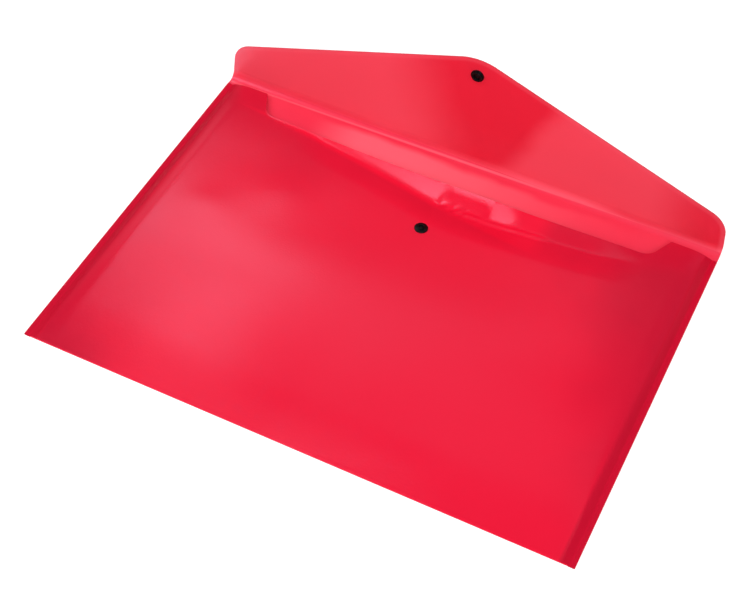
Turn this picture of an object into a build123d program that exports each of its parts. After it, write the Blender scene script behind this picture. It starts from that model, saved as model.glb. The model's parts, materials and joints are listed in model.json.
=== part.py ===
from build123d import *
import os
from math import atan2, cos, radians, sin

# Document wallet: a folded and welded plastic pocket with a flap on a double score and a snap fastener.
# Origin at the middle of the back panel's underside, X along the width, Y from the bottom fold to the
# crease, Z out of the front. The flap stands half open. Millimetres and degrees.

# Sheet and pocket
pocket_width = 335.0
pocket_height = 242.0
sheet = 0.3
weld_width = 4.0
weld_corner_radius = 1.5

# Front panel: heights of the inner face over the back panel, at the shoulder and along the middle.
# The lower and middle places are measured from the bottom fold, the tabs from the lower score.
shoulder_width = 14.0
fold_shoulder, fold_crown = 0.1, 0.15
lower_place, lower_shoulder, lower_crown = 37.0, 2.5, 3.6
middle_place, middle_shoulder, middle_crown = 102.0, 4.4, 6.6
stud_shoulder = 4.3
mouth_shoulder, mouth_crown = 3.9, 4.5
tab_distance, tab_shoulder, tab_crown = 5.0, 2.8, 3.4

# Mouth recess, with distances measured from the lower score
mouth_depth = 27.0
mouth_end_depth = 23.0
mouth_half_width = 130.0
recess_half_width = 138.0
recess_inner_radius = 10.0

# Double score and flap
crease_width = 5.0
fold_half_open = 90.0
fold_closed = 176.9
score_clearance = 0.05
flap_side_height = 22.6
flap_side_taper = 1.6
flap_point_height = 82.5
flap_corner_radius = 16.5
flap_point_radius = 34.0

# Snap fastener
snap_below_point = 14.5
snap_flange_diameter = 8.4
snap_edge = 0.2
cap_diameter = 10.0
cap_thickness = 0.9
cap_dome = 0.35
post_diameter = 1.6
post_clearance = 0.05
clinch_diameter = 2.6
clinch_height = 0.4
socket_height = 1.9
socket_base = 0.7
socket_flange = 0.8
socket_ring_diameter = 6.6
socket_bore_diameter = 4.7
socket_lip_diameter = 4.4
socket_lip_height = 0.4
stud_flange = 0.6
stud_base = 0.5
stud_height = 1.6
stud_head_diameter = 4.0
stud_neck_diameter = 3.7
stud_recess_diameter = 2.9
snap_seat_gap = 0.2
snap_sheet_gap = 0.01

half_width = pocket_width / 2
half_height = pocket_height / 2
weld_edge = half_width - weld_width
shoulder_edge = weld_edge - shoulder_width
crease_y = half_height
tab_y = crease_y - tab_distance
fold_radius = sheet + fold_crown / 2
fold_y = fold_radius - half_height
score_radius = sheet / 2
score_start = score_radius + score_clearance
hole_radius = post_diameter / 2 + post_clearance
snap_distance = flap_point_height - snap_below_point
mouth_y = crease_y - mouth_depth


def strip_end(fold):
    """Place of the upper score, across the wallet, when the flap is at this fold angle."""
    turn = radians(fold / 2)
    return crease_y + crease_width * cos(turn), score_radius + crease_width * sin(turn)


def fold_plane(y, z, fold):
    """Plane of a sheet that leaves the point (y, z) at this fold angle, with its normal on the inner face."""
    turn = radians(fold)
    return Plane(origin=(0, y, z), x_dir=(1, 0, 0), z_dir=(0, -sin(turn), cos(turn)))


def snap_plane(place, normal):
    """Plane through a snap's axis, with its local Y along that axis."""
    return Plane(origin=place, x_dir=(1, 0, 0), z_dir=Vector(1, 0, 0).cross(normal))


upper_y, upper_z = strip_end(fold_half_open)
strip_plane = fold_plane(crease_y, score_radius, fold_half_open / 2)
flap_plane = fold_plane(upper_y, upper_z, fold_half_open)

# Where the socket comes down on the front panel when the flap is shut
snap_stack = socket_height + snap_seat_gap + stud_flange
shut_y, shut_z = strip_end(fold_closed)
shut_turn = radians(fold_closed)
shut_drop = score_radius + snap_stack
seat_y = shut_y + snap_distance * cos(shut_turn) - shut_drop * sin(shut_turn)
seat_z = shut_z + snap_distance * sin(shut_turn) + shut_drop * cos(shut_turn)
stud_crown = seat_z - 2 * sheet

os.makedirs("parts", exist_ok=True)

# Back panel, full width above the welds, with a round bead along the lower score
with BuildPart() as back_panel:
    with BuildSketch():
        with Locations((0, (fold_y + tab_y) / 2)):
            Rectangle(2 * weld_edge, tab_y - fold_y)
        with Locations((0, (tab_y + crease_y) / 2)):
            Rectangle(pocket_width, tab_distance)
    extrude(amount=sheet)
    with BuildSketch(Plane.YZ):
        with Locations((crease_y, score_radius)):
            Circle(score_radius)
    extrude(amount=half_width, both=True)
back_panel.part.label = "back_panel"
export_step(back_panel.part, "parts/back_panel.step")

# Bottom fold, pressed flat so that the two panels meet
with BuildPart() as bottom_fold:
    with BuildSketch(Plane.YZ):
        with BuildLine():
            Line((fold_y, 0), (fold_y, 2 * fold_radius))
            ThreePointArc((fold_y, 2 * fold_radius), (-half_height, fold_radius), (fold_y, 0))
        make_face()
    extrude(amount=weld_edge, both=True)
bottom_fold.part.label = "bottom_fold"
export_step(bottom_fold.part, "parts/bottom_fold.step")

# Side welds, where the two sheets are fused into one band
for side, name in ((-1, "left_side_weld"), (1, "right_side_weld")):
    with BuildPart() as weld:
        with BuildSketch():
            with Locations((side * (weld_edge + half_width) / 2, (tab_y - half_height) / 2)):
                Rectangle(weld_width, tab_y + half_height)
            outer = vertices().group_by(Axis.Y)[0].sort_by(Axis.X)
            fillet(outer[0 if side < 0 else -1], radius=weld_corner_radius)
        extrude(amount=2 * sheet)
    weld.part.label = name
    export_step(weld.part, f"parts/{name}.step")


def shoulder(start, end):
    """Convex arc from a weld up to the panel, level at its upper end."""
    run, rise = abs(end[0] - start[0]), abs(end[1] - start[1])
    upper = max(start[1], end[1])
    inner = end[0] if end[1] > start[1] else start[0]
    outward = 1 if inner > 0 else -1
    radius = (run**2 + rise**2) / (2 * rise)
    half_turn = atan2(rise, run)
    middle = (inner + outward * radius * sin(half_turn), upper - radius * (1 - cos(half_turn)))
    ThreePointArc(start, middle, end)


def panel_line(height, shoulder_rise, crown_rise):
    """One face of the front panel, from weld to weld."""
    left, right = (-weld_edge, height), (weld_edge, height)
    left_top = (-shoulder_edge, height + shoulder_rise)
    right_top = (shoulder_edge, height + shoulder_rise)
    shoulder(left, left_top)
    ThreePointArc(left_top, (0, height + crown_rise), right_top)
    shoulder(right_top, right)


# Front panel: a sheet bowed up from the fold and the welds, with the mouth cut back between two tabs
stations = (
    (pocket_height - fold_radius, fold_shoulder, fold_crown),
    (pocket_height - lower_place, lower_shoulder, lower_crown),
    (pocket_height - middle_place, middle_shoulder, middle_crown),
    (crease_y - seat_y, stud_shoulder, stud_crown),
    (mouth_depth, mouth_shoulder, mouth_crown),
    (tab_distance, tab_shoulder, tab_crown),
)
with BuildPart() as front_panel:
    for distance, shoulder_rise, crown_rise in stations:
        with BuildSketch(Plane(origin=(0, crease_y - distance, 0), x_dir=(1, 0, 0), z_dir=(0, -1, 0))):
            with BuildLine():
                panel_line(sheet, shoulder_rise, crown_rise)
                panel_line(2 * sheet, shoulder_rise, crown_rise)
                Line((-weld_edge, sheet), (-weld_edge, 2 * sheet))
                Line((weld_edge, sheet), (weld_edge, 2 * sheet))
            make_face()
    loft()
    seat = Vector(0, seat_y, seat_z)
    crown_face = front_panel.faces().sort_by_distance(seat)[0]
    seat_normal = crown_face.normal_at(seat)
    with BuildSketch():
        with BuildLine():
            mouth = ThreePointArc(
                (-mouth_half_width, crease_y - mouth_end_depth),
                (0, mouth_y),
                (mouth_half_width, crease_y - mouth_end_depth),
            )
            Line(mouth @ 1, (recess_half_width, tab_y))
            Line((recess_half_width, tab_y), (recess_half_width, crease_y))
            Line((recess_half_width, crease_y), (-recess_half_width, crease_y))
            Line((-recess_half_width, crease_y), (-recess_half_width, tab_y))
            Line((-recess_half_width, tab_y), mouth @ 0)
        make_face()
        fillet(vertices().group_by(Axis.Y)[0], radius=recess_inner_radius)
    extrude(amount=pocket_height, mode=Mode.SUBTRACT)
    with BuildSketch(Plane(origin=seat, x_dir=(1, 0, 0), z_dir=seat_normal)):
        Circle(hole_radius)
    extrude(amount=2 * sheet, both=True, mode=Mode.SUBTRACT)
front_panel.part.label = "front_panel"
export_step(front_panel.part, "parts/front_panel.step")

# Crease strip between the two scores, with a round bead along the upper one
with BuildPart() as crease_strip:
    with BuildSketch(strip_plane):
        with Locations((0, (score_start + crease_width) / 2)):
            Rectangle(pocket_width, crease_width - score_start)
    extrude(amount=score_radius, both=True)
    with BuildSketch(Plane.YZ):
        with Locations((upper_y, upper_z)):
            Circle(score_radius)
    extrude(amount=half_width, both=True)
crease_strip.part.label = "crease_strip"
export_step(crease_strip.part, "parts/crease_strip.step")

# Flap: envelope outline with rounded corners and a rounded point
with BuildPart() as flap:
    with BuildSketch(flap_plane):
        with BuildLine():
            Polyline(
                (-half_width, score_start),
                (half_width, score_start),
                (half_width - flap_side_taper, flap_side_height),
                (0, flap_point_height),
                (-half_width + flap_side_taper, flap_side_height),
                close=True,
            )
        make_face()
        fillet(vertices().group_by(Axis.Y)[-1], radius=flap_point_radius)
        fillet(vertices().group_by(Axis.Y)[1], radius=flap_corner_radius)
        with Locations((0, snap_distance)):
            Circle(hole_radius, mode=Mode.SUBTRACT)
    extrude(amount=score_radius, both=True)
flap.part.label = "flap"
export_step(flap.part, "parts/flap.step")


def turned(plane, outline, name):
    """Write a snap piece turned about the plane's Y axis, from the points and arcs of its half section."""
    with BuildPart() as piece:
        with BuildSketch(plane):
            with BuildLine():
                outline()
            make_face()
        revolve(axis=Axis(plane.origin, plane.y_dir))
    piece.part.label = name
    export_step(piece.part, f"parts/{name}.step")


# Heights along a snap's axis are measured from the middle of the sheet
sheet_face = score_radius + snap_sheet_gap
cap_radius = cap_diameter / 2
post_radius = post_diameter / 2
clinch_radius = clinch_diameter / 2
flange_radius = snap_flange_diameter / 2


def cap_outline(base):
    """Domed cap with a post through the sheet, clinched over the base of the socket or the stud."""
    cap_low = -sheet_face - cap_thickness
    seat_height = sheet_face + base
    dome = TangentArc((0, cap_low), (cap_radius, cap_low + cap_dome), tangent=(1, 0))
    Polyline(
        dome @ 1,
        (cap_radius, -sheet_face),
        (post_radius, -sheet_face),
        (post_radius, seat_height),
        (clinch_radius, seat_height),
    )
    clinch = TangentArc((0, seat_height + clinch_height), (clinch_radius, seat_height), tangent=(1, 0))
    Line(clinch @ 0, dome @ 0)


def socket_outline():
    """Flange and ring, with a bore that is drawn in to a lip at its mouth."""
    ring_radius = socket_ring_diameter / 2
    bore_radius = socket_bore_diameter / 2
    lip_radius = socket_lip_diameter / 2
    flange_top = sheet_face + socket_flange
    base_top = sheet_face + socket_base
    top = sheet_face + socket_height
    Polyline(
        (hole_radius, sheet_face),
        (flange_radius, sheet_face),
        (flange_radius, flange_top - snap_edge),
        (flange_radius - snap_edge, flange_top),
        (ring_radius, flange_top),
        (ring_radius, top - snap_edge),
        (ring_radius - snap_edge, top),
        (lip_radius + snap_edge, top),
        (lip_radius, top - snap_edge),
        (lip_radius, top - socket_lip_height),
        (bore_radius, top - socket_lip_height),
        (bore_radius, base_top),
        (hole_radius, base_top),
        close=True,
    )


def stud_outline():
    """Flange and hollow nub, with a head that is wider than its neck."""
    neck_radius = stud_neck_diameter / 2
    head_radius = stud_head_diameter / 2
    recess_radius = stud_recess_diameter / 2
    flange_top = sheet_face + stud_flange
    base_top = sheet_face + stud_base
    top = sheet_face + stud_height
    Polyline(
        (hole_radius, sheet_face),
        (flange_radius, sheet_face),
        (flange_radius, flange_top - snap_edge),
        (flange_radius - snap_edge, flange_top),
        (neck_radius, flange_top),
        (head_radius, (flange_top + top) / 2),
        (head_radius, top - snap_edge),
        (head_radius - snap_edge, top),
        (recess_radius, top),
        (recess_radius, base_top),
        (hole_radius, base_top),
        close=True,
    )


# Snap fastener: cap and socket on the flap, cap and stud on the front panel
flap_snap = snap_plane(flap_plane.from_local_coords((0, snap_distance, 0)), flap_plane.z_dir)
pocket_snap = snap_plane(seat - seat_normal * score_radius, seat_normal)
turned(flap_snap, lambda: cap_outline(socket_base), "flap_snap_cap")
turned(flap_snap, socket_outline, "flap_snap_socket")
turned(pocket_snap, lambda: cap_outline(stud_base), "pocket_snap_cap")
turned(pocket_snap, stud_outline, "pocket_snap_stud")
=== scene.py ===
import json
from math import cos, exp, log, pi, radians, sin, sqrt, tan

import bmesh
import bpy
from mathutils import Matrix, Vector, noise


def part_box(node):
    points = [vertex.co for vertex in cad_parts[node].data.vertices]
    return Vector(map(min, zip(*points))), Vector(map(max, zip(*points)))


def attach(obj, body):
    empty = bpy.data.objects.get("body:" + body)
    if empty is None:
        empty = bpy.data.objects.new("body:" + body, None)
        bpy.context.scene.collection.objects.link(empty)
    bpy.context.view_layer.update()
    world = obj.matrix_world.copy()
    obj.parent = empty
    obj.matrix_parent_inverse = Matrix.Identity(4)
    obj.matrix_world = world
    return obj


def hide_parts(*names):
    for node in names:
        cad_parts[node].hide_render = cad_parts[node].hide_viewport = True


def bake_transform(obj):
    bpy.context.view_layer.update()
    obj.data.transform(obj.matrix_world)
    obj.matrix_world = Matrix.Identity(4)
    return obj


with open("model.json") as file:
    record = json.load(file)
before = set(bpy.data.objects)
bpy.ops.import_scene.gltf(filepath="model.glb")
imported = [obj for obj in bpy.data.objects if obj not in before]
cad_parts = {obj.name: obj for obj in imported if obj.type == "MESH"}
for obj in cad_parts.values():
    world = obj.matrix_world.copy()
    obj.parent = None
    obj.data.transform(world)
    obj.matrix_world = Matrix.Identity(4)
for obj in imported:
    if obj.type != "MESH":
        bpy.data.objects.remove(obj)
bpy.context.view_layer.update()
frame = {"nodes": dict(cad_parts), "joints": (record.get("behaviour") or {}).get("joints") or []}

bl_info = {
    "name": "Document wallet",
    "version": (1, 0, 0),
    "blender": (4, 5, 0),
    "location": "View3D > Sidebar > Wallet",
    "description": "Dresses a plastic document wallet with its sheets, welds, snaps and studio",
    "category": "Object",
}

MM = 0.001

# Places taken from the frame, in metres
score = {joint["name"]: Vector(joint["pos_m"]) for joint in frame["joints"]}
lower_score, upper_score = score["lower_score"], score["upper_score"]
weld_low, weld_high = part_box("left_side_weld")
fold_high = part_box("bottom_fold")[1]
panel_low, panel_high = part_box("front_panel")
stud_low, stud_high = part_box("pocket_snap_stud")
half_width = -weld_low.x
weld_edge = -weld_high.x
sheet = weld_high.z / 2
stud_y = (stud_low.y + stud_high.y) / 2
strip_dir = (upper_score - lower_score).normalized()
strip_middle = (upper_score + lower_score) / 2
flat_dir = Vector((0, 1, 0))
up_dir = Vector((0, 0, 1))


def length(name, description, millimetres):
    """A length property, given in millimetres and kept in metres."""
    return bpy.props.FloatProperty(
        name=name, description=description, default=millimetres * MM, unit="LENGTH", precision=5
    )


def angle(name, description, degrees):
    """An angle property, given in degrees."""
    return bpy.props.FloatProperty(
        name=name, description=description, default=radians(degrees), subtype="ANGLE"
    )


def colour(name, description, red_green_blue):
    """A colour property, in linear values."""
    return bpy.props.FloatVectorProperty(
        name=name, description=description, default=red_green_blue, subtype="COLOR", size=3, min=0, max=1
    )


def spot(name, description, metres):
    """A point property, in metres."""
    return bpy.props.FloatVectorProperty(
        name=name, description=description, default=metres, subtype="TRANSLATION", unit="LENGTH"
    )


class WalletSizes(bpy.types.PropertyGroup):
    """Forms of the sheet that the pieces are laid over"""

    shoulder_width: length("Shoulder width", "Run of the panel's curve up from each weld", 14.0)
    mouth_depth: length("Mouth depth", "Distance from the crease to the middle of the mouth", 27.0)
    mouth_rise: length("Mouth rise", "How much nearer the crease the ends of the mouth are", 4.0)
    mouth_half_width: length("Mouth half width", "From the middle to each end of the mouth", 130.0)
    recess_half_width: length("Recess half width", "From the middle to each corner tab", 138.0)
    recess_radius: length("Recess radius", "Rounding at the ends of the mouth", 10.0)
    tab_radius: length("Tab radius", "Rounding at the corner of each tab", 1.2)
    margin_slope: angle("Margin slope", "How steeply the margin under the mouth tips up", 11.4)
    tipped_slope: angle("Tipped slope", "Slope of the margin where it tips up furthest", 15.4)
    margin_round: length("Margin rounding", "Rounding along the margin's lower border", 0.7)
    margin_reach: length("Margin reach", "Run of the hollow below the margin", 21.0)
    pucker: length("Pucker", "Height of the small folds on the margin's lower border", 0.28)
    ridge: length("Ridge", "Height of the fold along the margin's lower border", 0.42)
    lip: length("Lip", "Height of the curl along the edge of the mouth", 0.3)
    sway: length("Sway", "Height of the slow waves in the front panel", 0.28)
    sway_length: length("Sway length", "Length of the slow waves in the front panel", 62.0)
    bend: length("Bend", "Reach of the rounding on each side of a score", 2.3)
    flap_side: length("Flap side", "Height of the flap's short sides", 22.6)
    flap_taper: length("Flap taper", "How far the short sides lean in", 1.6)
    flap_point: length("Flap point", "Height where the sloping edges would meet", 82.5)
    flap_corner_radius: length("Flap corner radius", "Rounding of the flap's side corners", 16.5)
    flap_point_radius: length("Flap point radius", "Rounding of the flap's point", 34.0)
    weld_corner: length("Weld corner", "Rounding of each weld's outer corner at the fold", 0.6)
    weld_groove: length("Weld groove", "Depth of the line that the welding bar presses", 0.18)
    weld_round: length("Weld rounding", "Rounding of the weld's long outer edges", 0.12)


class WalletFinish(bpy.types.PropertyGroup):
    """Colours of the sheet and the snaps; several reds of the sheet are lit and shaded copies of one red
    that paint light and shade onto it
    """

    # Painted light: the lit copy of the front's red, two sheets thick, laid where light falls on the pocket
    deep: colour("Deep red", "Sheet over sheet, on the front of the pocket", (0.82, 0.0062, 0.034))
    # Painted shade: the shaded copy of the front's red, towards the tabs, the top and the corners
    shaded: colour("Shaded red", "Front of the pocket towards its corner tabs", (0.56, 0.0062, 0.029))
    middle: colour("Middle red", "Single sheet away from the light", (0.80, 0.018, 0.044))
    pale: colour("Pale red", "Single sheet with light behind it", (0.92, 0.074, 0.116))
    # Partly the single sheet's own paler red, partly painted light: it lights the band across the mouth and
    # paints the highlight along the flap's rim
    palest: colour("Palest red", "Single sheet lying on the table", (0.92, 0.128, 0.178))
    # Painted shade: darker copy of the back's red towards the ends of the mouth and near the crease, under
    # the flap
    resting: colour("Resting red", "Sheet on the table towards the ends of the mouth", (0.80, 0.036, 0.076))
    # Painted shade: a darker red on the strip between the scores, which faces the lamps more than the flap
    # does
    creased: colour("Creased red", "Strip of the sheet between its two scores", (0.80, 0.030, 0.058))
    # Painted highlight: a pale line along the lower score, standing in for the glint on its bend
    scored: colour("Scored red", "Whitened line along a score", (0.90, 0.092, 0.136))
    # Painted light: a paler red over the middle and the top of the front, below the mouth
    lifted: colour("Lifted red", "Front of the pocket below its mouth", (0.81, 0.0098, 0.038))
    # Painted shade: a darker red on the steep rise of the sheet beside a weld
    heated: colour("Heated red", "Sheet beside a weld", (0.58, 0.0045, 0.026))
    welded: colour("Welded red", "Two sheets fused into one", (0.57, 0.0035, 0.026))
    # Partly the pressed plastic's own red, partly painted shade in the weld's groove and on the faces
    # beside the weld
    pressed: colour("Pressed red", "Line pressed into the weld", (0.53, 0.0035, 0.024))
    cut: colour("Cut edge", "Edge of the sheet, seen through its depth", (0.20, 0.008, 0.016))
    black: colour("Snap black", "Moulded snap pieces", (0.0012, 0.0012, 0.0016))
    worn_black: colour("Worn black", "Rubbed patches of the snap pieces", (0.0045, 0.0045, 0.005))
    gloss_tint: colour("Gloss tint", "Tint of the sheet's gloss", (1.0, 0.68, 1.0))


class WalletStage(bpy.types.PropertyGroup):
    """Camera at the photograph's viewing angle"""

    camera_place: spot("Camera place", "Where the camera stands", (0.23541, -0.56274, 0.72093))
    camera_aim: spot("Camera aim", "Point at the middle of the picture", (-0.00206, -0.00594, 0.00016))
    camera_roll: angle("Camera roll", "Turn about the line of sight", 3.469)
    camera_lens: bpy.props.FloatProperty(
        name="Lens", description="Focal length in millimetres", default=77.54, min=10, max=300
    )


def sizes():
    """The sizes that the pieces are made from."""
    return bpy.context.scene.wallet_sizes


def finish():
    """The colours that the materials are made from."""
    return bpy.context.scene.wallet_finish


# Lines and outlines


def smooth_step(low, high, value):
    """Rise from 0 at low to 1 at high, level at both ends."""
    share = min(max((value - low) / (high - low), 0.0), 1.0)
    return share * share * (3 - 2 * share)


def smooth_line(stations, at):
    """Value on a smooth line through stations of (place, value)."""
    last = len(stations) - 1
    index = 0
    while index < last - 1 and at > stations[index + 1][0]:
        index += 1

    def slope(station):
        before, after = stations[max(station - 1, 0)], stations[min(station + 1, last)]
        return (after[1] - before[1]) / (after[0] - before[0])

    (start, low), (end, high) = stations[index], stations[index + 1]
    run = end - start
    t = min(max((at - start) / run, 0.0), 1.0)
    return (
        low * (1 + 2 * t) * (1 - t) ** 2
        + high * t * t * (3 - 2 * t)
        + run * slope(index) * t * (1 - t) ** 2
        - run * slope(index + 1) * t * t * (1 - t)
    )


def rounded_path(corners, steps=10):
    """Points of a line through corners of (x, y, radius), each rounded by its radius."""
    path = []
    for index, (x, y, radius) in enumerate(corners):
        corner = Vector((x, y))
        if radius == 0:
            path.append(corner)
            continue
        before = (Vector(corners[index - 1][:2]) - corner).normalized()
        after = (Vector(corners[index + 1][:2]) - corner).normalized()
        half_turn = before.angle(after) / 2
        reach = radius / tan(half_turn)
        centre = corner + (before + after).normalized() * radius / sin(half_turn)
        start, end = corner + before * reach - centre, corner + after * reach - centre
        for step in range(steps + 1):
            path.append(centre + start.slerp(end, step / steps).normalized() * radius)
    return path


def along(path, share):
    """Point at a share of the whole length of a path."""
    lengths = [(end - start).length for start, end in zip(path, path[1:])]
    left = share * sum(lengths)
    for start, end, run in zip(path, path[1:], lengths):
        if left <= run:
            return start.lerp(end, left / run)
        left -= run
    return path[-1].copy()


def bend_points(corner, before, after, reach, steps=10):
    """Points round a score, from one sheet's direction to the next."""
    start, end = corner - before * reach, corner + after * reach
    points = []
    for step in range(steps + 1):
        t = step / steps
        points.append(start * (1 - t) ** 2 + corner * 2 * t * (1 - t) + end * t * t)
    return points


# Modelling helpers


def pick(piece):
    """Make one piece the only selected object, and the active one."""
    bpy.ops.object.select_all(action="DESELECT")
    piece.select_set(True)
    bpy.context.view_layer.objects.active = piece


def named(name):
    """Name the object that an operator has just added."""
    piece = bpy.context.object
    piece.name = name
    piece.data.name = name
    return piece


def add_grid(name, columns, rows, point):
    """A grid primitive laid over a form: point gives the place of a column and a row."""
    bpy.ops.mesh.primitive_grid_add(x_subdivisions=columns, y_subdivisions=rows, size=2)
    piece = named(name)
    for vertex in piece.data.vertices:
        column = round((vertex.co.x + 1) / 2 * columns)
        row = round((vertex.co.y + 1) / 2 * rows)
        vertex.co = point(column, row)
    piece.data.update()
    return piece


def thicken(piece, offset):
    """Give a laid sheet its thickness, with its cut edges in the second material."""
    pick(piece)
    modifier = piece.modifiers.new("Sheet", "SOLIDIFY")
    modifier.thickness = sheet
    modifier.offset = offset
    modifier.use_even_offset = True
    modifier.material_offset_rim = 1
    bpy.ops.object.modifier_apply(modifier=modifier.name)


def round_edges(piece, size, wanted, segments=3, sharpest=radians(50)):
    """Bevel the sharp edges whose two ends pass the wanted test."""
    pick(piece)
    bpy.ops.object.mode_set(mode="EDIT")
    bpy.ops.mesh.select_mode(type="EDGE")
    bpy.ops.mesh.select_all(action="DESELECT")
    shape = bmesh.from_edit_mesh(piece.data)
    for edge in shape.edges:
        if len(edge.link_faces) == 2 and edge.calc_face_angle() > sharpest:
            edge.select_set(wanted(*(end.co for end in edge.verts)))
    bmesh.update_edit_mesh(piece.data)
    bpy.ops.mesh.bevel(offset=size, segments=segments)
    bpy.ops.object.mode_set(mode="OBJECT")


def shade(piece, sharpest=radians(35)):
    """Smooth shading that keeps the sharp edges."""
    pick(piece)
    bpy.ops.object.shade_smooth_by_angle(angle=sharpest)


def dress(piece, *materials):
    """Give a piece its materials."""
    piece.data.materials.clear()
    for material in materials:
        piece.data.materials.append(material)


# Form of the front panel

# Places up the panel, from the fold, where its rise is set
LOWER_PLACE, MIDDLE_PLACE = 36.6 * MM, 101.6 * MM
# Rise at the shoulders and along the middle, in millimetres, from the fold up to the tabs
FOLD_RISE, LOWER_RISE, MIDDLE_RISE = (0.1, 0.15), (2.3, 3.1), (4.4, 6.6)
STUD_RISE, MOUTH_RISE, TAB_RISE = (4.3, 5.38), (3.9, 4.5), (2.8, 3.4)

# Margin under the mouth, in millimetres: its width at places along the mouth
MARGIN_WIDTHS = (
    (-100, 0.2), (-82, 2.7), (-45, 7.0), (-5, 14.1), (18, 16.0),
    (36, 15.3), (60, 14.1), (100, 11.5), (132, 8.0),
)
# Stretches of it that tip up furthest: start, full from, full to, end
TIPPED = ((-96, -84, -3, 4), (26, 33, 41, 54))
# Stretches of its lower border that are puckered and folded, and of its edge that is curled
PUCKERED = (-4, 3, 16, 24)
RIDGED = (10, 18, 62, 76)
CURLED = (-2, 6, 28, 34)
# Reach of the puckers, the fold and the curl, and the steps of the puckers along and across the border
PUCKER_REACH, RIDGE_REACH, CURL_REACH = 3.5 * MM, 1.5 * MM, 6.0 * MM
PUCKER_STEP, PUCKER_RISE = 1.2 * MM, 1.6 * MM
# Places where the margin starts to flatten towards its right end, and where it is flat
MARGIN_FADE = (96, 134)
# Share of the margin's height that goes down into the hollow below it
HOLLOW_SHARE = 0.77
# Share of the panel's width that has narrow columns, beside each weld
OUTER_SHARE = 0.016
# Soft swells on the left of the panel, in millimetres: place across and up, reach and height
SWELLS = ((-126, 10, 14, 0.26), (-86, 42, 20, 0.45))
# Distances over which the waves grow from none to full: from a weld, from the fold and from the stud
CALM_WELD, CALM_FOLD, CALM_STUD = (0, 30 * MM), (0, 40 * MM), (8 * MM, 26 * MM)
# Slice of the noise that the waves are taken from
WAVE_SLICE = 0.05
# Power of the shoulder's curve
SHOULDER_POWER = 2.4
# Points along the curve of the mouth, and the share of its width that they take in
MOUTH_STEPS, MOUTH_SHARE = 24, 0.94


def panel_lines():
    """Stations of the shoulders' rise and of the middle's, up the wallet, in metres."""
    places = (
        (panel_low.y, FOLD_RISE),
        (panel_low.y + LOWER_PLACE, LOWER_RISE),
        (panel_low.y + MIDDLE_PLACE, MIDDLE_RISE),
        (stud_y, STUD_RISE),
        (lower_score.y - sizes().mouth_depth, MOUTH_RISE),
        (panel_high.y, TAB_RISE),
    )
    return [[(y, rise[line] * MM) for y, rise in places] for line in range(2)]


def stretch(bounds, x):
    """1 inside a stretch of the mouth, falling to 0 at its ends."""
    start, full_from, full_to, end = (bound * MM for bound in bounds)
    return smooth_step(start, full_from, x) * (1 - smooth_step(full_to, end, x))


def margin_height(x, below):
    """Lift of the margin at a distance below the mouth's edge."""
    size = sizes()
    wide = smooth_line(MARGIN_WIDTHS, x / MM) * MM
    tip = max(stretch(bounds, x) for bounds in TIPPED)
    steep = tan(size.margin_slope + (size.tipped_slope - size.margin_slope) * tip)
    steep *= 1 - smooth_step(MARGIN_FADE[0] * MM, MARGIN_FADE[1] * MM, x)
    climb = size.margin_round * log(1 + exp((wide - below) / size.margin_round))
    hollow = HOLLOW_SHARE * wide * (1 - smooth_step(wide, wide + size.margin_reach, below))
    near = exp(-(((below - wide) / PUCKER_REACH) ** 2))
    fold = size.pucker * stretch(PUCKERED, x) * near * sin(x / PUCKER_STEP + below / PUCKER_RISE)
    fold += size.ridge * stretch(RIDGED, x) * exp(-(((below - wide) / RIDGE_REACH) ** 2))
    fold += size.lip * stretch(CURLED, x) * max(1 - below / CURL_REACH, 0) ** 2
    return steep * (climb - hollow) + fold


def panel_height(x, y, below, shoulder, crown):
    """Height of the panel's outer face."""
    size = sizes()
    low, high = smooth_line(shoulder, y), smooth_line(crown, y)
    inner = weld_edge - size.shoulder_width
    out = abs(x)
    if out > inner:
        share = (out - inner) / size.shoulder_width
        ease = 2 * (high - low) / inner * size.shoulder_width
        rise = low - ease * share - (low - ease) * share ** SHOULDER_POWER
    else:
        rise = high + (low - high) * (out / inner) ** 2
    calm = smooth_step(*CALM_WELD, weld_edge - out) * smooth_step(*CALM_FOLD, y - panel_low.y)
    calm *= smooth_step(*CALM_STUD, sqrt(x * x + (y - stud_y) ** 2))
    wave = size.sway * noise.noise(Vector((x, y, WAVE_SLICE)) / size.sway_length)
    for middle_x, middle_y, reach, height in SWELLS:
        away = (Vector((x, y)) / MM - Vector((middle_x, middle_y))).length / reach
        wave += height * MM * exp(-away * away)
    return 2 * sheet + rise + calm * wave + margin_height(x, below)


def mouth_path():
    """Upper edge of the front panel, from weld to weld."""
    size = sizes()
    mouth_y = lower_score.y - size.mouth_depth
    start = [
        (-weld_edge, panel_high.y, 0),
        (-size.recess_half_width, panel_high.y, size.tab_radius),
        (-size.mouth_half_width, mouth_y + size.mouth_rise, size.recess_radius),
    ]
    middle = []
    for step in range(1, MOUTH_STEPS):
        x = MOUTH_SHARE * size.mouth_half_width * (2 * step / MOUTH_STEPS - 1)
        middle.append((x, mouth_y + size.mouth_rise * (x / size.mouth_half_width) ** 2, 0))
    end = [(-x, y, radius) for x, y, radius in reversed(start)]
    return rounded_path(start + middle + end)


# Snap

# Radii and heights in millimetres. Heights are over the seat, which lies over the middle of the sheet.
SNAP_SEAT, SNAP_HOLE, SNAP_FLANGE = 0.16, 0.85, 4.2
SNAP_EDGE, SNAP_FILLET, SNAP_NOSE = 0.2, 0.1, 0.25
SOCKET_RING, SOCKET_BORE, SOCKET_LIP = 3.3, 2.35, 2.2
SOCKET_BASE, SOCKET_FLANGE, SOCKET_CATCH, SOCKET_TOP = 0.7, 0.8, 1.5, 1.9
STUD_NECK, STUD_HEAD, STUD_RECESS = 1.85, 2.0, 1.45
STUD_BASE, STUD_FLANGE, STUD_BULGE, STUD_TOP = 0.5, 0.6, 1.1, 1.6
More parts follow.
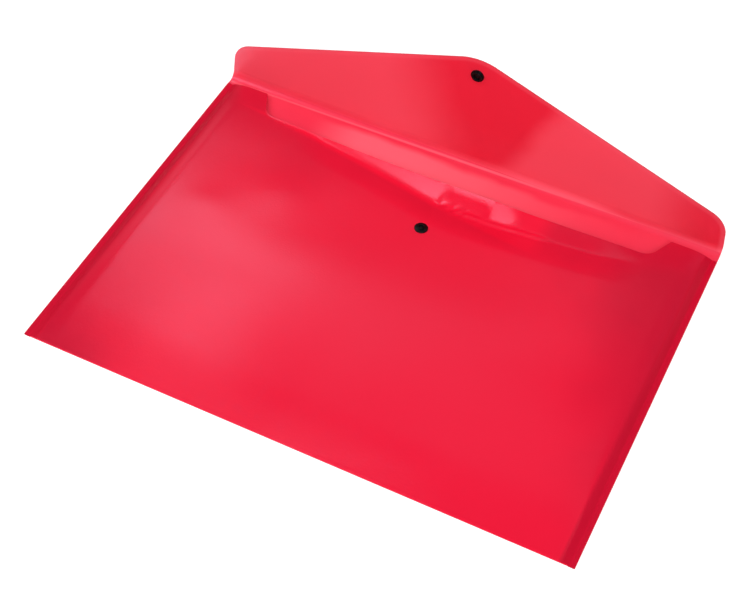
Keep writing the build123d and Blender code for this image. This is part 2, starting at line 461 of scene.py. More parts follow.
# The cap lies on the other side, and its top is measured from the middle of the sheet
CAP_RADIUS, CAP_TOP, CAP_DOME, CAP_EDGE = 5.0, 1.06, 0.35, 0.2
POST_RADIUS, CLINCH_RADIUS, CLINCH_HEIGHT = 0.8, 1.3, 0.4
# Half sections from the rim of the flange to the hole: radius, height and rounding of each corner
SOCKET_SECTION = (
    (SNAP_FLANGE, SOCKET_FLANGE, SNAP_EDGE), (SOCKET_RING, SOCKET_FLANGE, SNAP_FILLET),
    (SOCKET_RING, SOCKET_TOP, SNAP_NOSE), (SOCKET_LIP, SOCKET_TOP, SNAP_EDGE),
    (SOCKET_LIP, SOCKET_CATCH, 0), (SOCKET_BORE, SOCKET_CATCH, 0),
    (SOCKET_BORE, SOCKET_BASE, SNAP_FILLET), (SNAP_HOLE, SOCKET_BASE, 0),
)
STUD_SECTION = (
    (SNAP_FLANGE, STUD_FLANGE, SNAP_EDGE), (STUD_NECK, STUD_FLANGE, SNAP_FILLET),
    (STUD_HEAD, STUD_BULGE, SNAP_EDGE), (STUD_HEAD, STUD_TOP, SNAP_NOSE),
    (STUD_RECESS, STUD_TOP, SNAP_EDGE), (STUD_RECESS, STUD_BASE, SNAP_FILLET),
    (SNAP_HOLE, STUD_BASE, 0),
)

# Materials

# Inputs of a skin: the scales of its peel and its clouds, and its sharpest and dullest gloss
SKIN = ("Peel Scale", "Cloud Scale", "Gloss Low", "Gloss High")
# Inputs of a soft span of red across a sheet: its bounds, and how its sides lean
SPAN = ("Low", "Low Full", "High Full", "High", "Top Full", "Top", "Drift", "Lean Low", "Lean High")
# Scale of the waves that the borders of a span drift by
DRIFT_SCALE = 26.0
# Detail of the peel and of the clouds, and the clouds' levels with the sharpest and the dullest gloss
PEEL_DETAIL, CLOUD_DETAIL = 3.0, 2.0
CLOUD_LOW, CLOUD_HIGH = 0.3, 0.7
# Painted highlight along the rim of the flap
RIM_FULL, RIM_END, RIM_SHARE = 1.8 * MM, 4.0 * MM, 0.3
# Heat beside a weld: where it is full, how far it reaches, and how dull it makes the sheet; over the same
# reach the sheet is darkened as painted shade
HEAT_FULL, HEAT_REACH, HEAT_ROUGHNESS = 3.6 * MM, 6.0 * MM, 0.16
# Darker line in a weld, from its inner edge, and how far the clouds shift it; the line is partly the
# pressed plastic's own red and partly painted shade in its groove
LINE_FULL, LINE_END, LINE_SHIFT = 0.4 * MM, 1.4 * MM, 1.2 * MM
# Index of refraction of the sheet, and how strongly the other plastics reflect
SHEET_IOR, EDGE_SPECULAR, WELD_SPECULAR, SNAP_SPECULAR = 1.5, 0.5, 0.06, 0.15


def add_node(tree, kind, inputs=(), **settings):
    """A node with its settings. Each input is a value, or an output of another node to link."""
    node = tree.nodes.new(kind)
    for setting, value in settings.items():
        setattr(node, setting, value)
    for socket, value in dict(inputs).items():
        if isinstance(value, bpy.types.NodeSocket):
            tree.links.new(value, node.inputs[socket])
        else:
            node.inputs[socket].default_value = value
    return node


def new_material(name):
    """A node material with a Principled shader and its output."""
    material = bpy.data.materials.new(name)
    material.use_nodes = True
    tree = material.node_tree
    tree.nodes.clear()
    shader = add_node(tree, "ShaderNodeBsdfPrincipled")
    add_node(tree, "ShaderNodeOutputMaterial", {"Surface": shader.outputs["BSDF"]})
    return material, tree, shader


def new_group(name, inputs, outputs):
    """A shader node group with float sockets by name, and its two end nodes."""
    group = bpy.data.node_groups.new(name, "ShaderNodeTree")
    for socket in inputs:
        kind = "NodeSocketVector" if socket == "Place" else "NodeSocketFloat"
        group.interface.new_socket(socket, in_out="INPUT", socket_type=kind)
    for socket in outputs:
        group.interface.new_socket(socket, in_out="OUTPUT", socket_type="NodeSocketFloat")
    return group, add_node(group, "NodeGroupInput").outputs, add_node(group, "NodeGroupOutput").inputs


def math_node(tree, operation, *values, **settings):
    """Result of a sum on values, or on outputs of other nodes."""
    inputs = dict(enumerate(values))
    return add_node(tree, "ShaderNodeMath", inputs, operation=operation, **settings).outputs["Value"]


def ramp(tree, value, start, end, low=0.0, high=1.0):
    """Smooth ramp from low to high while a value goes from start to end."""
    inputs = {"Value": value, "From Min": start, "From Max": end, "To Min": low, "To Max": high}
    return add_node(tree, "ShaderNodeMapRange", inputs, interpolation_type="SMOOTHSTEP").outputs["Result"]


def noise_node(tree, where, scale, detail):
    """Level of a noise at a place."""
    inputs = {"Vector": where, "Scale": scale, "Detail": detail}
    return add_node(tree, "ShaderNodeTexNoise", inputs).outputs["Fac"]


def object_place(tree):
    """Place on the object."""
    return add_node(tree, "ShaderNodeTexCoord").outputs["Object"]


def distance_across(tree):
    """Distance from the middle of the wallet, along its width."""
    axes = add_node(tree, "ShaderNodeSeparateXYZ", {"Vector": object_place(tree)}).outputs
    return math_node(tree, "ABSOLUTE", axes["X"])


def add_group(tree, build, inputs):
    """Outputs of a node of a group, which is built for its first use."""
    group = bpy.data.node_groups.get(build.__name__) or build(build.__name__)
    return add_node(tree, "ShaderNodeGroup", inputs, node_tree=group).outputs


def plastic_skin(name):
    """Skin of moulded and rolled plastic: a height for the bump, a cloudy tone and an uneven gloss."""
    group, given, result = new_group(name, SKIN, ("Height", "Cloud", "Roughness"))
    where = object_place(group)
    peel = noise_node(group, where, given["Peel Scale"], PEEL_DETAIL)
    cloud = noise_node(group, where, given["Cloud Scale"], CLOUD_DETAIL)
    gloss = add_node(
        group, "ShaderNodeMapRange",
        {"Value": cloud, "From Min": CLOUD_LOW, "From Max": CLOUD_HIGH,
         "To Min": given["Gloss Low"], "To Max": given["Gloss High"]},
    )
    group.links.new(peel, result["Height"])
    group.links.new(cloud, result["Cloud"])
    group.links.new(gloss.outputs["Result"], result["Roughness"])
    return group


def soft_span(name):
    """Mask of a soft span across a sheet, with leaning sides, an upper end and drifting borders."""
    group, given, result = new_group(name, ("Place", *SPAN), ("Mask",))
    waves = noise_node(group, given["Place"], DRIFT_SCALE, CLOUD_DETAIL)
    drift = math_node(group, "MULTIPLY", math_node(group, "SUBTRACT", waves, 0.5), given["Drift"])
    axes = add_node(group, "ShaderNodeSeparateXYZ", {"Vector": given["Place"]}).outputs
    across = math_node(group, "ADD", axes["X"], drift)
    upward = math_node(group, "ADD", axes["Y"], drift)
    low_side = math_node(group, "MULTIPLY_ADD", axes["Y"], given["Lean Low"], across)
    high_side = math_node(group, "MULTIPLY_ADD", axes["Y"], given["Lean High"], across)
    from_low = ramp(group, low_side, given["Low"], given["Low Full"])
    to_high = ramp(group, high_side, given["High Full"], given["High"], 1.0, 0.0)
    to_top = ramp(group, upward, given["Top Full"], given["Top"], 1.0, 0.0)
    span = math_node(group, "MULTIPLY", from_low, to_high)
    group.links.new(math_node(group, "MULTIPLY", span, to_top), result["Mask"])
    return group


def add_skin(tree, shader, peel, cloud, gloss, strength, depth):
    """Put the plastic's skin on a shader, and give back its cloudy tone."""
    skin = add_group(tree, plastic_skin, dict(zip(SKIN, (peel, cloud, *gloss))))
    bump = add_node(
        tree, "ShaderNodeBump", {"Height": skin["Height"], "Strength": strength, "Distance": depth}
    )
    tree.links.new(skin["Roughness"], shader.inputs["Roughness"])
    tree.links.new(bump.outputs["Normal"], shader.inputs["Normal"])
    return skin["Cloud"]


def mix_colours(tree, share, first, second):
    """Colour between two others. The first may be a colour or an output to link."""
    if not isinstance(first, bpy.types.NodeSocket):
        first = (*first, 1)
    return add_node(
        tree, "ShaderNodeMix", {"Factor": share, "A": first, "B": (*second, 1)}, data_type="RGBA"
    ).outputs["Result"]


def span_bounds(low=(-400, -300), high=(300, 400), top=(300, 400), drift=0, lean=(0, 0)):
    """Bounds of a span, given in millimetres. A bound that isn't given lies past the sheet."""
    lengths = [bound * MM for bound in (*low, *high, *top, drift)]
    return dict(zip(SPAN, (*lengths, *lean)))


def lay_red(tree, base, red, place, cloud, cloudy=0.0, **span):
    """Lay another red over a base along a soft span, with a share of clouds."""
    mask = add_group(tree, soft_span, {"Place": place, **span_bounds(**span)})["Mask"]
    clouds = math_node(tree, "MULTIPLY_ADD", cloud, cloudy, -0.5 * cloudy)
    tone = math_node(tree, "ADD", mask, clouds, use_clamp=True)
    return mix_colours(tree, tone, base, red)


def pale_rim(tree, base):
    """Painted highlight: a paler border inside the free edge of the flap."""
    distance = add_node(tree, "ShaderNodeAttribute", attribute_name="rim").outputs["Fac"]
    border = ramp(tree, distance, RIM_FULL, RIM_END, RIM_SHARE, 0.0)
    return mix_colours(tree, border, base, finish().palest)


def dull_near_weld(tree, shader, base):
    """Duller sheet where the welding bar has warmed it, and darker there as painted shade on the steep rise
    beside the weld.
    """
    heat_and_shade = ramp(tree, distance_across(tree), weld_edge - HEAT_REACH, weld_edge - HEAT_FULL)
    gloss = shader.inputs["Roughness"].links[0].from_socket
    dull = add_node(tree, "ShaderNodeMix", {"Factor": heat_and_shade, "A": gloss, "B": HEAT_ROUGHNESS})
    tree.links.new(dull.outputs["Result"], shader.inputs["Roughness"])
    # Painted shade: the darker red beside the weld
    return mix_colours(tree, heat_and_shade, base, finish().heated)


def sheet_red(name, red, layers, centre=(0, 0, 0), turn=0.0, gloss=(0.10, 0.15), rim=False, welded=False):
    """Red plastic sheet: reds laid over each other along soft spans, with clouds and a fine peel."""
    material, tree, shader = new_material(name)
    cloud = add_skin(tree, shader, peel=900.0, cloud=14.0, gloss=gloss, strength=0.25, depth=0.2 * MM)
    place = add_node(
        tree, "ShaderNodeMapping",
        {"Vector": object_place(tree), "Location": centre, "Rotation": (turn, 0, 0)},
    ).outputs["Vector"]
    base = red
    for over, span in layers:
        base = lay_red(tree, base, over, place, cloud, **span)
    if rim:
        base = pale_rim(tree, base)
    if welded:
        base = dull_near_weld(tree, shader, base)
    tree.links.new(base, shader.inputs["Base Color"])
    shader.inputs["IOR"].default_value = SHEET_IOR
    shader.inputs["Specular Tint"].default_value = (*finish().gloss_tint, 1)
    return material


def clouded(name, first, second, specular, share=None, **skin):
    """Plastic between two colours, by its clouds or by a share that is made from them."""
    if name in bpy.data.materials:
        return bpy.data.materials[name]
    material, tree, shader = new_material(name)
    cloud = add_skin(tree, shader, **skin)
    base = mix_colours(tree, share(tree, cloud) if share else cloud, first, second)
    tree.links.new(base, shader.inputs["Base Color"])
    shader.inputs["Specular IOR Level"].default_value = specular
    return material


def cut_edge():
    """Cut edge of the sheet."""
    return clouded(
        "cut_edge", finish().welded, finish().cut, EDGE_SPECULAR,
        peel=3000.0, cloud=90.0, gloss=(0.3, 0.45), strength=0.1, depth=0.1 * MM,
    )


def snap_black():
    """Black moulded snap, rubbed in patches."""
    return clouded(
        "snap_black", finish().black, finish().worn_black, SNAP_SPECULAR,
        peel=2500.0, cloud=300.0, gloss=(0.14, 0.24), strength=0.1, depth=0.1 * MM,
    )


def past_line(tree, cloud):
    """Share of a weld that lies past its darker line, which the clouds shift."""
    uneven = math_node(tree, "MULTIPLY_ADD", cloud, LINE_SHIFT, distance_across(tree))
    return ramp(tree, uneven, weld_edge + LINE_FULL, weld_edge + LINE_END)


def weld_red():
    """Two sheets fused by a hot bar: matte, and darkest along the line that the bar presses, partly as
    painted shade in its groove.
    """
    return clouded(
        "weld_red", finish().pressed, finish().welded, WELD_SPECULAR, past_line,
        peel=1500.0, cloud=60.0, gloss=(0.38, 0.52), strength=0.2, depth=0.2 * MM,
    )


# Pieces

# Columns and rows of the sheets, and columns of the snaps
BACK_COLUMNS, BAND_ROWS = 120, 20
FRONT_INNER, FRONT_OUTER, FRONT_ROWS = 280, 12, 150
FLAP_COLUMNS, FLAP_ROWS = 240, 40
SNAP_COLUMNS = 72
# Steps of the flap's rounded corners, of a cap's dome and of the snaps' rounded edges
FLAP_STEPS, CAP_STEPS, EDGE_STEPS = 24, 8, 5
# Reach of the band of the back that shows in the mouth, and of the flat before the lower score, in bends
BAND_REACH, FLAT_BENDS = 40 * MM, 1.3
# Power that crowds the rows of the front towards its mouth
ROW_POWER = 1.6
# Line pressed into a weld: its borders and its middle, in millimetres from the weld's inner edge
GROOVE_BORDERS, GROOVE_MIDDLE = (0.35, 0.75, 1.35, 1.75), 1.05
# Places nearer than this are the same, and points nearer than the finer one are joined
SAME, JOINED = 0.01 * MM, 0.001 * MM


class LayBackSheet(bpy.types.Operator):
    """Back of the pocket and the lower half of the crease strip, in one sheet"""

    bl_idname = "wallet.lay_back_sheet"
    bl_label = "Back Sheet"

    def execute(self, context):
        bend = sizes().bend
        band_start = lower_score.y - BAND_REACH
        line = [Vector((0, fold_high.y, sheet / 2))]
        for step in range(BAND_ROWS):
            y = band_start + (panel_high.y - band_start) * step / (BAND_ROWS - 1)
            line.append(Vector((0, y, sheet / 2)))
        line.append(Vector((0, lower_score.y - FLAT_BENDS * bend, sheet / 2)))
        line += bend_points(lower_score, flat_dir, strip_dir, bend)
        line.append(strip_middle)

        def point(column, row):
            reach = half_width if row >= BAND_ROWS else weld_edge
            return Vector((reach * (2 * column / BACK_COLUMNS - 1), line[row].y, line[row].z))

        piece = add_grid("back_sheet", BACK_COLUMNS, len(line) - 1, point)
        red = finish()
        # Painted light and shade: the palest red across the middle of the mouth, fading to the darker red
        # towards its ends and towards the crease, which the flap shades
        band = dict(low=(-106, -66), high=(-50, 135), top=(-9, -2.5), drift=9, cloudy=0.3)
        # Painted highlight along the lower score, drifting across the bend as a glint would
        scored = dict(low=(-73, -32), high=(4, 45), lean=(-59, -59))
        layers = ((red.palest, band), (red.scored, scored))
        skin = sheet_red("back_red", red.resting, layers, centre=(0, -lower_score.y, 0))
        dress(piece, skin, cut_edge())
        thicken(piece, 0)
        shade(piece)
        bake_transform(piece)
        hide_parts("back_panel", "crease_strip")
        return {"FINISHED"}


class LayFrontSheet(bpy.types.Operator):
    """Front of the pocket, bowed up from the welds, with its mouth between two tabs"""

    bl_idname = "wallet.lay_front_sheet"
    bl_label = "Front Sheet"

    def execute(self, context):
        columns = FRONT_INNER + 2 * FRONT_OUTER
        path = mouth_path()

        def across(column):
            """Share of the width: narrow columns beside the welds, even ones between."""
            if column > columns / 2:
                return 1 - across(columns - column)
            if column <= FRONT_OUTER:
                return OUTER_SHARE * column / FRONT_OUTER
            return OUTER_SHARE + (0.5 - OUTER_SHARE) * (column - FRONT_OUTER) / (FRONT_INNER / 2)

        edge = [along(path, across(column)) for column in range(columns + 1)]
        shoulder, crown = panel_lines()

        def point(column, row):
            share = 1 - (1 - row / FRONT_ROWS) ** ROW_POWER
            base = Vector((weld_edge * (2 * across(column) - 1), panel_low.y))
            x, y = base.lerp(edge[column], share)
            below = (edge[column] - base).length * (1 - share)
            return Vector((x, y, panel_height(x, y, below, shoulder, crown)))

        piece = add_grid("front_sheet", columns, FRONT_ROWS, point)
        red = finish()
        # Painted light and shade: the lit red over the middle of the front, fading to the shaded red
        # towards its sides and its top
        lit = dict(low=(-215, -100), high=(100, 190), top=(10, 140), drift=30, lean=(0.2, 0.35), cloudy=0.3)
        # Painted light: the paler red over the middle and the top of the front
        lifted = dict(low=(-70, 0), high=(30, 90), top=(35, 85), drift=20, lean=(0.3, -0.6))
        # Painted shade: the shaded red again over the lower left corner
        left_corner = dict(high=(-278, -222), drift=24, lean=(0, 1))
        # Painted light: the lit red again along the margin under the mouth
        margin = dict(low=(440, 470), high=(60, 75), top=(97, 101), lean=(6, 0))
        layers = ((red.deep, lit), (red.lifted, lifted), (red.shaded, left_corner), (red.deep, margin))
        skin = sheet_red("front_red", red.shaded, layers, welded=True)
        dress(piece, skin, cut_edge(), weld_red())
        thicken(piece, -1)
        # Faces next to the welds have the weld's matte finish, and with it the weld's darkest red as
        # painted shade
        for face in piece.data.polygons:
            if abs(face.center.x) > weld_edge - HEAT_FULL:
                face.material_index = 2
        shade(piece)
        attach(piece, "pocket")
        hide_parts("front_panel")
        return {"FINISHED"}


class LayFlapSheet(bpy.types.Operator):
    """Flap and the upper half of the crease strip, in one sheet"""

    bl_idname = "wallet.lay_flap_sheet"
    bl_label = "Flap Sheet"

    def outline(self):
        """Free edge of the flap, from its left end at the crease to its right one."""
        size = sizes()
        side = half_width - size.flap_taper
        return rounded_path((
            (-half_width, 0, 0),
            (-side, size.flap_side, size.flap_corner_radius),
            (0, size.flap_point, size.flap_point_radius),
            (side, size.flap_side, size.flap_corner_radius),
            (half_width, 0, 0),
        ), steps=FLAP_STEPS)

    def mark_rim(self, piece, outline):
        """Keep each point's distance from the flap's free edge, for the painted highlight along its rim."""
        rim = piece.data.attributes.new("rim", "FLOAT", "POINT")
        for vertex in piece.data.vertices:
            place = Vector((vertex.co.x, vertex.co.z - upper_score.z))
            rim.data[vertex.index].value = min(
                self.gap(place, start, end) for start, end in zip(outline, outline[1:])
            )

    def gap(self, place, start, end):
        """Distance of a point from one short run of the edge."""
        run = end - start
        share = min(max((place - start).dot(run) / run.length_squared, 0), 1)
        return (place - start - run * share).length

    def execute(self, context):
        size = sizes()
        outline = self.outline()
        edge = [along(outline[1:-1], column / FLAP_COLUMNS) for column in range(FLAP_COLUMNS + 1)]
        line = [strip_middle] + bend_points(upper_score, strip_dir, up_dir, size.bend)
        first = len(line) - 1

        def point(column, row):
            x = half_width * (2 * column / FLAP_COLUMNS - 1)
            if row <= first:
                return Vector((x, line[row].y, line[row].z))
            across, height = Vector((x, size.bend)).lerp(edge[column], (row - first) / FLAP_ROWS)
            return Vector((across, upper_score.y, upper_score.z + height))

        piece = add_grid("flap_sheet", FLAP_COLUMNS, first + FLAP_ROWS, point)
        self.mark_rim(piece, outline)
        red = finish()
        # Painted light and shade: the pale red where light comes through the flap, the middle red over its
        # centre and right end, which lie in shade
        centre = dict(low=(-48, 12), high=(14, 34), drift=16, lean=(0.3, -0.48), cloudy=0.3)
        right_end = dict(low=(112, 165), drift=16)
        # Painted shade on the crease strip, and painted light on a lit stretch of it
        strip = dict(top=(-1.5, 3.5), drift=3)
        lit_strip = dict(low=(5, 45), high=(75, 110), top=(0, 6), drift=3)
        layers = (
            (red.middle, centre), (red.middle, right_end), (red.creased, strip), (red.pale, lit_strip),
        )
        skin = sheet_red(
            "flap_red", red.pale, layers, centre=(0, -upper_score.z, 0), turn=radians(-90),
            gloss=(0.3, 0.36), rim=True,
        )
        dress(piece, skin, cut_edge())
        thicken(piece, 0)
        shade(piece)
        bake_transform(piece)
        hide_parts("flap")
        return {"FINISHED"}


class PressWelds(bpy.types.Operator):
    """Side welds: two sheets fused into a band, with the line that the welding bar presses"""

    bl_idname = "wallet.press_welds"
    bl_label = "Side Welds"

    def press(self, node):
        """One weld, from a block as large as its node."""
        size = sizes()
        low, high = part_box(node)
        side = 1 if low.x > 0 else -1
        bpy.ops.mesh.primitive_cube_add(size=1, location=(low + high) / 2, scale=high - low)
        piece = named(node.replace("_weld", "_welded_band"))
        bpy.ops.object.transform_apply()
        bpy.ops.object.mode_set(mode="EDIT")
        for distance in GROOVE_BORDERS:
            bpy.ops.mesh.select_all(action="SELECT")
            bpy.ops.mesh.bisect(plane_co=(side * (weld_edge + distance * MM), 0, 0), plane_no=(1, 0, 0))
        bpy.ops.mesh.select_mode(type="FACE")
        bpy.ops.mesh.select_all(action="DESELECT")
        shape = bmesh.from_edit_mesh(piece.data)
        for face in shape.faces:
            middle = face.calc_center_median()
            inside = abs(abs(middle.x) - weld_edge - GROOVE_MIDDLE * MM) < SAME
            face.select_set(inside and middle.z > 1.5 * sheet)
        bmesh.update_edit_mesh(piece.data)
        bpy.ops.transform.translate(value=(0, 0, -size.weld_groove))
        bpy.ops.object.mode_set(mode="OBJECT")
        outer = side * half_width

        def at_corner(first, second):
            upright = abs(first.z - second.z) > sheet
            return upright and abs(first.x - outer) < SAME and first.y < 0

        def at_outer_top(first, second):
            outermost = abs(first.x - outer) < SAME and abs(second.x - outer) < SAME
            return outermost and min(first.z, second.z) > 1.5 * sheet

        round_edges(piece, size.weld_corner, at_corner, segments=6)
        round_edges(piece, size.weld_round, at_outer_top)
        dress(piece, weld_red())
        shade(piece)
        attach(piece, "pocket")
        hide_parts(node)

    def execute(self, context):
        self.press("left_side_weld")
        self.press("right_side_weld")
        return {"FINISHED"}


class TurnSnaps(bpy.types.Operator):
    """Press snap: a cap and the socket on the flap, a cap and the stud on the pocket"""

    bl_idname = "wallet.turn_snaps"
    bl_label = "Snaps"

    def cap_section(self, base):
        """Half section of a domed cap, with its post clinched over a base."""
        shares = [step / CAP_STEPS for step in range(CAP_STEPS)]
        dome = [(CAP_RADIUS * share, CAP_DOME * share ** 2 - CAP_TOP, 0) for share in shares]
        seat = SNAP_SEAT + base
        quarter = [pi / 2 * step / CAP_STEPS for step in range(1, CAP_STEPS + 1)]
        clinch = [(CLINCH_RADIUS * cos(turn), seat + CLINCH_HEIGHT * sin(turn), 0) for turn in quarter]
        rim = [(CAP_RADIUS, CAP_DOME - CAP_TOP, CAP_EDGE), (CAP_RADIUS, -SNAP_SEAT, 0)]
        post = [(POST_RADIUS, -SNAP_SEAT, 0), (POST_RADIUS, seat, 0), (CLINCH_RADIUS, seat, 0)]
        return dome + rim + post + clinch

    def ring_section(self, corners):
        """Half section of a socket or a stud on its seat, closed along its hole."""
        section = [(SNAP_HOLE, 0, 0), (SNAP_FLANGE, 0, 0), *corners, (SNAP_HOLE, 0, 0)]
        return [(radius, SNAP_SEAT + height, rounding) for radius, height, rounding in section]

    def axis(self, node, facing):
        """Foot of a snap's axis at the middle of its sheet, and direction, from the node's largest face."""
        mesh = frame["nodes"][node].data
        normal = max(mesh.polygons, key=lambda face: face.area).normal
        direction = normal.normalized() if normal.dot(facing) > 0 else -normal.normalized()
        low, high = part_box(node)
        middle = (low + high) / 2
        foot = min(vertex.co.dot(direction) for vertex in mesh.vertices) - SNAP_SEAT * MM
        return middle + direction * (foot - middle.dot(direction)), direction

    def turn(self, name, node, body, section, axis):
        """One snap piece, turned about its axis from its rounded half section."""
        foot, direction = axis
        side = direction.orthogonal().normalized()
        ahead = direction.cross(side)
        line = rounded_path(section, steps=EDGE_STEPS)

        def point(column, row):
            around = 2 * pi * column / SNAP_COLUMNS
            spun = side * cos(around) + ahead * sin(around)
            return foot + spun * (line[row].x * MM) + direction * (line[row].y * MM)

        piece = add_grid(name, SNAP_COLUMNS, len(line) - 1, point)
        bpy.ops.object.mode_set(mode="EDIT")
        bpy.ops.mesh.select_all(action="SELECT")
        bpy.ops.mesh.remove_doubles(threshold=JOINED)
        bpy.ops.mesh.normals_make_consistent(inside=False)
        bpy.ops.object.mode_set(mode="OBJECT")
        dress(piece, snap_black())
        shade(piece)
        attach(piece, body)
        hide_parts(node)

    def execute(self, context):
        on_flap = self.axis("flap_snap_socket", -flat_dir)
        on_pocket = self.axis("pocket_snap_stud", up_dir)
        self.turn("flap_cap", "flap_snap_cap", "flap", self.cap_section(SOCKET_BASE), on_flap)
        self.turn("flap_socket", "flap_snap_socket", "flap", self.ring_section(SOCKET_SECTION), on_flap)
        self.turn("pocket_cap", "pocket_snap_cap", "pocket", self.cap_section(STUD_BASE), on_pocket)
        self.turn("pocket_stud", "pocket_snap_stud", "pocket", self.ring_section(STUD_SECTION), on_pocket)
        return {"FINISHED"}


class DressFold(bpy.types.Operator):
    """Bottom fold, in its own material"""

    bl_idname = "wallet.dress_fold"
    bl_label = "Bottom Fold"

    def execute(self, context):
        layers = ((finish().deep, dict(cloudy=0.3)),)
        dress(frame["nodes"]["bottom_fold"], sheet_red("fold_red", finish().shaded, layers))
        return {"FINISHED"}


# Stage

# Floor: its size in metres, how far it lies below the wallet, its grey and its roughness
FLOOR_SIZE, FLOOR_DROP, FLOOR_GREY, FLOOR_ROUGHNESS = 40.0, 0.05 * MM, 0.8, 0.9
# Glow of the floor near the wallet and far from it, and the distances between which it grows
NEAR_GLOW, FAR_GLOW, GLOW_START, GLOW_END = 0.35, 0.95, 0.9, 2.6
# Strength of the studio at the horizon and overhead, and the height up to which it fades
HORIZON, OVERHEAD, HORIZON_TOP = 0.9, 0.14, 0.1
# Borders of the window on the left: axis of the direction, start and end of a fade, and its two levels
WINDOW = (
    ("X", -0.55, -0.43, 1.0, 0.0),
    ("Z", 0.24, 0.62, 0.0, 1.0),
    ("Y", 0.47, 0.56, 0.0, 1.0),
    ("Y", 0.61, 0.66, 1.0, 0.0),
)
# Power of a light for each unit of its radiance and of its area
POWER_SHARE = 4
# Lights: name, X and Y of the direction, distance, width and height in metres, radiance, shape, roll
LIGHTS = (
    ("front_soft", (0.398, -0.569), 3.4, (2.4, 2.8), 3.85),
    ("left_key", (-0.66, -0.170), 1.8, (0.9, 0.9), 3.9),
    ("left_band", (-0.418, 0.553), 4.0, (0.73, 0.49), 1.75),
    ("left_edge", (-0.313, 0.545), 4.0, (0.19, 0.64), 0.42),
    ("left_low", (-0.392, 0.462), 4.0, (0.55, 0.34), 1.55),
    ("left_foot", (-0.374, 0.392), 4.0, (0.24, 0.42), 1.75),
    ("back_glow", (-0.215, 0.532), 4.2, (0.99, 1.10), 0.38),
    ("right_haze", (-0.095, 0.645), 4.2, (0.34, 0.30), 0.42),
    ("right_glow", (0.100, 0.485), 4.2, (1.7, 0.44), 0.22),
    ("top_soft", (-0.243, 0.190), 4.0, (0.95, 0.95), 3.35, "DISK"),
    ("rear_fill", (0.120, 0.984), 2.5, (2.4, 0.6), 5.0),
    ("crease_glint", (-0.245, -0.300), 4.0, (2.5, 0.3), 0.7, "RECTANGLE", -62.4),
)


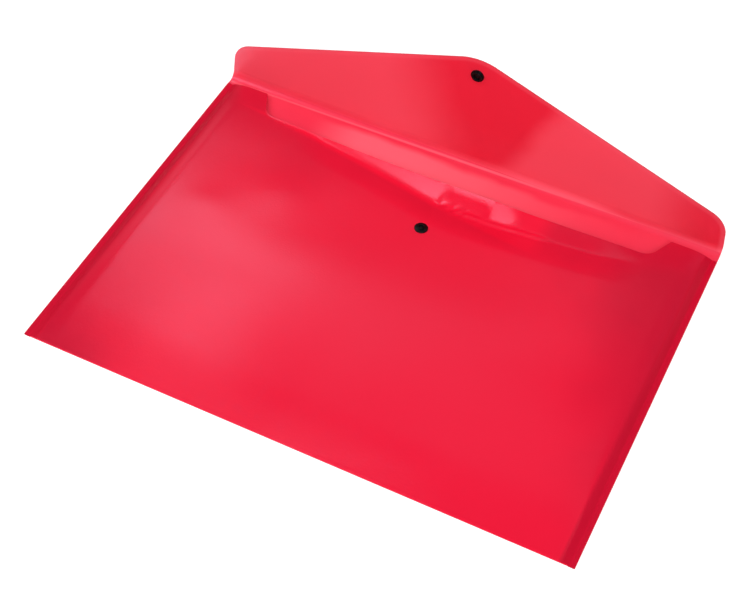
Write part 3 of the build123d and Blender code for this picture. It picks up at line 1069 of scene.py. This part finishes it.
class SetStage(bpy.types.Operator):
    """Floor, lights and camera"""

    bl_idname = "wallet.set_stage"
    bl_label = "Stage"

    def put(self, name, data, matrix):
        """Put a light or a camera in the scene."""
        item = bpy.data.objects.new(name, data)
        bpy.context.scene.collection.objects.link(item)
        item.matrix_world = matrix
        return item

    def add_light(self, name, toward, distance, size, radiance, shape="RECTANGLE", roll=0.0):
        """A soft light that faces the wallet, with its width along X before it is rolled."""
        x, y = toward
        away = Vector((x, y, sqrt(1 - x * x - y * y)))
        side = (Vector((1, 0, 0)) - away * x).normalized()
        turn = Matrix((side, away.cross(side), away)).transposed().to_4x4()
        data = bpy.data.lights.new(name, "AREA")
        data.shape = shape
        data.size, data.size_y = size
        area = size[0] * size[1] * (pi / 4 if shape == "DISK" else 1)
        data.energy = POWER_SHARE * radiance * area
        rolled = turn @ Matrix.Rotation(radians(roll), 4, "Z")
        self.put(name, data, Matrix.Translation(away * distance) @ rolled)

    def add_floor(self):
        """Pale floor that keeps the shadow."""
        bpy.ops.mesh.primitive_plane_add(size=FLOOR_SIZE, location=(0, 0, -FLOOR_DROP))
        floor = named("floor")
        material, tree, shader = new_material("floor_white")
        rays = add_node(tree, "ShaderNodeLightPath").outputs
        seen = math_node(tree, "MAXIMUM", rays["Is Camera Ray"], rays["Is Glossy Ray"])
        seen = math_node(tree, "MAXIMUM", seen, rays["Is Transmission Ray"])
        away = add_node(tree, "ShaderNodeVectorMath", {0: object_place(tree)}, operation="LENGTH")
        glow = ramp(tree, away.outputs["Value"], GLOW_START, GLOW_END, NEAR_GLOW, FAR_GLOW)
        tree.links.new(math_node(tree, "MULTIPLY", seen, glow), shader.inputs["Emission Strength"])
        shader.inputs["Emission Color"].default_value = (1, 1, 1, 1)
        shader.inputs["Base Color"].default_value = (FLOOR_GREY, FLOOR_GREY, FLOOR_GREY, 1)
        shader.inputs["Roughness"].default_value = FLOOR_ROUGHNESS
        shader.inputs["Specular IOR Level"].default_value = 0.0
        dress(floor, material)

    def set_world(self):
        """Pale near the horizon and dim overhead, with a soft window on the left that fades downwards."""
        world = bpy.data.worlds.new("studio")
        bpy.context.scene.world = world
        world.use_nodes = True
        tree = world.node_tree
        tree.nodes.clear()
        where = add_node(tree, "ShaderNodeTexCoord").outputs["Generated"]
        axes = add_node(tree, "ShaderNodeSeparateXYZ", {"Vector": where}).outputs
        window = 1.0
        for axis, *fade in WINDOW:
            window = math_node(tree, "MULTIPLY", window, ramp(tree, axes[axis], *fade))
        haze = ramp(tree, axes["Z"], 0.0, HORIZON_TOP, HORIZON, OVERHEAD)
        sky = add_node(tree, "ShaderNodeBackground", {"Strength": math_node(tree, "ADD", window, haze)})
        add_node(tree, "ShaderNodeOutputWorld", {"Surface": sky.outputs["Background"]})

    def add_camera(self):
        """Camera at the photograph's viewing angle."""
        stage = bpy.context.scene.wallet_stage
        data = bpy.data.cameras.new("camera")
        data.lens = stage.camera_lens
        stand, aim = Vector(stage.camera_place), Vector(stage.camera_aim)
        turn = (aim - stand).to_track_quat("-Z", "Y").to_matrix().to_4x4()
        rolled = turn @ Matrix.Rotation(stage.camera_roll, 4, "Z")
        bpy.context.scene.camera = self.put("camera", data, Matrix.Translation(stand) @ rolled)

    def execute(self, context):
        context.scene.view_settings.view_transform = "Standard"
        self.add_floor()
        self.set_world()
        for light in LIGHTS:
            self.add_light(*light)
        self.add_camera()
        return {"FINISHED"}


class WalletPanel(bpy.types.Panel):
    """Lists the pieces of the wallet, with their sizes and colours"""

    bl_idname = "VIEW3D_PT_wallet"
    bl_label = "Document Wallet"
    bl_space_type = "VIEW_3D"
    bl_region_type = "UI"
    bl_category = "Wallet"

    def draw(self, context):
        for piece in PIECES:
            self.layout.operator(piece.bl_idname)
        for name in GROUPS:
            group = getattr(context.scene, name)
            column = self.layout.column()
            for value in group.__annotations__:
                column.prop(group, value)


PIECES = (LayBackSheet, LayFrontSheet, LayFlapSheet, PressWelds, TurnSnaps, DressFold, SetStage)
GROUPS = {"wallet_sizes": WalletSizes, "wallet_finish": WalletFinish, "wallet_stage": WalletStage}
CLASSES = (*GROUPS.values(), *PIECES, WalletPanel)


def register():
    for kind in CLASSES:
        bpy.utils.register_class(kind)
    for name, kind in GROUPS.items():
        setattr(bpy.types.Scene, name, bpy.props.PointerProperty(type=kind))


def unregister():
    for name in GROUPS:
        delattr(bpy.types.Scene, name)
    for kind in reversed(CLASSES):
        bpy.utils.unregister_class(kind)


def main():
    """Make every piece in order."""
    register()
    bpy.ops.wallet.lay_back_sheet()
    bpy.ops.wallet.lay_front_sheet()
    bpy.ops.wallet.lay_flap_sheet()
    bpy.ops.wallet.press_welds()
    bpy.ops.wallet.turn_snaps()
    bpy.ops.wallet.dress_fold()
    bpy.ops.wallet.set_stage()


if __name__ == "__main__":
    main()
